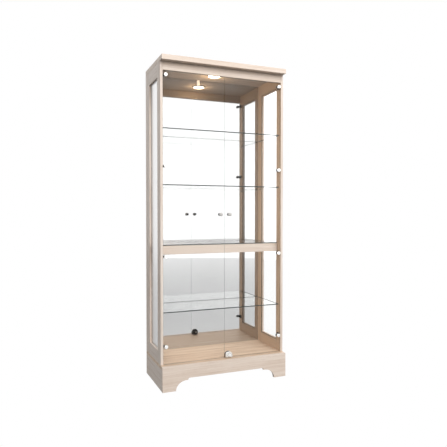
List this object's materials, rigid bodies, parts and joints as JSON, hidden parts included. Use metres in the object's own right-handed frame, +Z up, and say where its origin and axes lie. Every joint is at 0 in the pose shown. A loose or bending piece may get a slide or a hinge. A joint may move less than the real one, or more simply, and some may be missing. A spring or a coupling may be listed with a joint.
{
  "type": "display case",
  "caption": "Tall free-standing display case in light limed oak, with glass doors and sides, a mirrored back, glass shelves, a ceiling lamp and a lock.",
  "frame": {"origin": "on the floor, under the middle of the case's overall width and depth", "axes": "+Z up, -Y is the front with the doors, +X is on the right of someone facing the case"},
  "size_m": [0.82, 0.4, 1.98],
  "materials": {
    "oak": "limed oak grain, satin",
    "panel": "hardboard, matt",
    "glass": "clear float glass, ground edges",
    "mirror": "silvered glass",
    "bright_metal": "bright plated",
    "nickel": "satin nickel",
    "black_metal": "black lacquer, satin",
    "white_plastic": "satin",
    "lamp_lens": "opal diffuser, warm white"
  },
  "bodies": {
    "cabinet": {"cornice": "oak", "frieze_rail": "oak", "base_front": "oak", "case_floor": "oak", "base_back": "oak", "base_left": "oak", "base_right": "oak", "left_front_stile": "oak", "left_back_stile": "oak", "left_top_rail": "oak", "left_bottom_rail": "oak", "left_pane": "glass", "right_front_stile": "oak", "right_back_stile": "oak", "right_top_rail": "oak", "right_bottom_rail": "oak", "right_pane": "glass", "back_panel": "panel", "mirror": "mirror", "back_rail_bottom": "oak", "back_rail_top": "oak", "lower_shelf": "glass", "upper_shelf": "glass", "top_shelf": "glass", "middle_shelf": "glass", "middle_rail": "oak", "middle_cleat_left": "oak", "middle_cleat_right": "oak", "left_hinge_bracket_1": "black_metal", "left_hinge_bracket_2": "black_metal", "left_hinge_bracket_3": "black_metal", "left_hinge_bracket_4": "black_metal", "right_hinge_bracket_1": "black_metal", "right_hinge_bracket_2": "black_metal", "right_hinge_bracket_3": "black_metal", "right_hinge_bracket_4": "black_metal", "lock_strike": "black_metal", "lamp_housing": "white_plastic", "lamp_lens": "lamp_lens", "lamp_lead_cover": "white_plastic"},
    "left_door": {"left_door_glass": "glass", "left_knob": "nickel", "left_knob_nut": "black_metal", "left_hinge_cap_1": "bright_metal", "left_hinge_cap_2": "bright_metal", "left_hinge_cap_3": "bright_metal", "left_hinge_cap_4": "bright_metal"},
    "right_door": {"right_door_glass": "glass", "right_knob": "nickel", "right_knob_nut": "black_metal", "right_hinge_cap_1": "bright_metal", "right_hinge_cap_2": "bright_metal", "right_hinge_cap_3": "bright_metal", "right_hinge_cap_4": "bright_metal", "lock_body": "nickel", "lock_back_plate": "black_metal"},
    "lock_turn": {"lock_cylinder": "bright_metal", "lock_cam": "black_metal"}
  },
  "joints": [
    {"name": "left_door_hinge", "type": "hinge", "parent": "cabinet", "child": "left_door", "pos_m": [-0.39, -0.16, 1], "axis": [0, 0, -1], "range_deg": [0, 95]},
    {"name": "right_door_hinge", "type": "hinge", "parent": "cabinet", "child": "right_door", "pos_m": [0.39, -0.16, 1], "axis": [0, 0, 1], "range_deg": [0, 95]},
    {"name": "lock_cylinder_turn", "type": "hinge", "parent": "right_door", "child": "lock_turn", "pos_m": [0.032, -0.16, 0.169], "axis": [0, -1, 0], "range_deg": [0, 90]}
  ]
}
